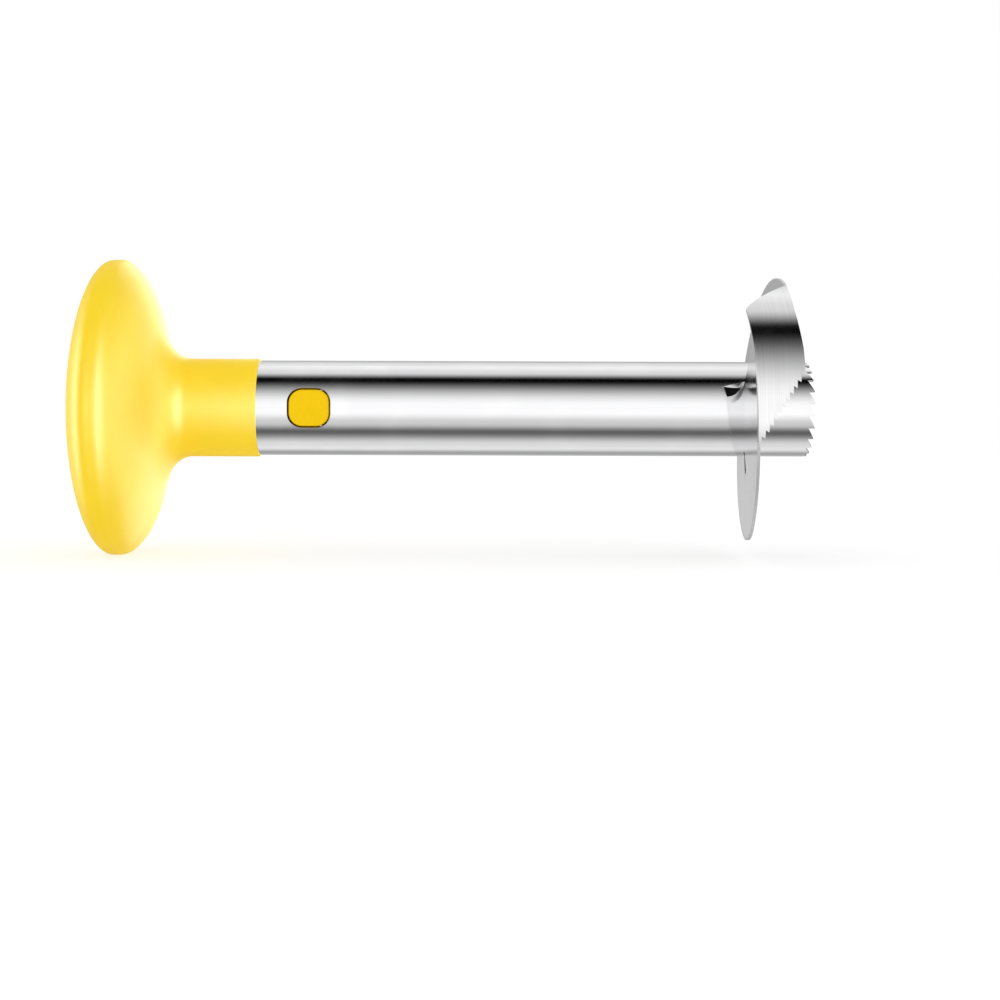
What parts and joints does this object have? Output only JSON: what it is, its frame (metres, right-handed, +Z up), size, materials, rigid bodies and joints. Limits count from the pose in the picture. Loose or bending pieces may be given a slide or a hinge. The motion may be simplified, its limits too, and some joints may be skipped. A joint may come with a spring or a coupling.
{
  "type": "pineapple slicer",
  "caption": "Hand-turned tool that cores, peels and spirals a pineapple, with a round knob that unlocks from the steel tube.",
  "frame": {"origin": "on the surface that the tool lies on, below the middle of its length", "axes": "+X along the tool from the knob to the cutting end, +Z up, -Y towards the side that shows the front button and the peel cutter"},
  "size_m": [0.238, 0.096, 0.096],
  "materials": {
    "polished_steel": "polished",
    "blade_steel": "polished",
    "yellow_plastic": "satin with a faint grain",
    "button_plastic": "satin",
    "inner_plastic": "moulded satin",
    "zinc_steel": "zinc plated",
    "spring_steel": "drawn wire"
  },
  "bodies": {
    "cutter": {"corer_tube": "polished_steel", "slicing_blade": "blade_steel", "peel_cutter": "blade_steel"},
    "handle": {"handle_body": "yellow_plastic", "knob_cap": "yellow_plastic", "spigot": "inner_plastic", "spigot_screw": "zinc_steel", "screw_washer": "zinc_steel", "button_spring": "spring_steel"},
    "front_snap": {"button_front": "button_plastic"},
    "rear_snap": {"button_rear": "button_plastic"}
  },
  "joints": [
    {"name": "handle_release", "type": "slide", "parent": "cutter", "child": "handle", "axis": [-1, 0, 0], "range_m": [0, 0.04], "deforming": ["button_front", "button_rear"]},
    {"name": "front_button_press", "type": "hinge", "parent": "handle", "child": "front_snap", "pos_m": [-0.0249, -0.0122, 0.048], "axis": [0, 0, -1], "range_deg": [0, 7], "stiffness_Nm_per_rad": 1.4, "springref_deg": -2.86, "deforming": ["button_spring"]},
    {"name": "rear_button_press", "type": "hinge", "parent": "handle", "child": "rear_snap", "pos_m": [-0.0249, 0.0122, 0.048], "axis": [0, 0, 1], "range_deg": [0, 7], "stiffness_Nm_per_rad": 1.4, "springref_deg": -2.86, "deforming": ["button_spring"]}
  ]
}
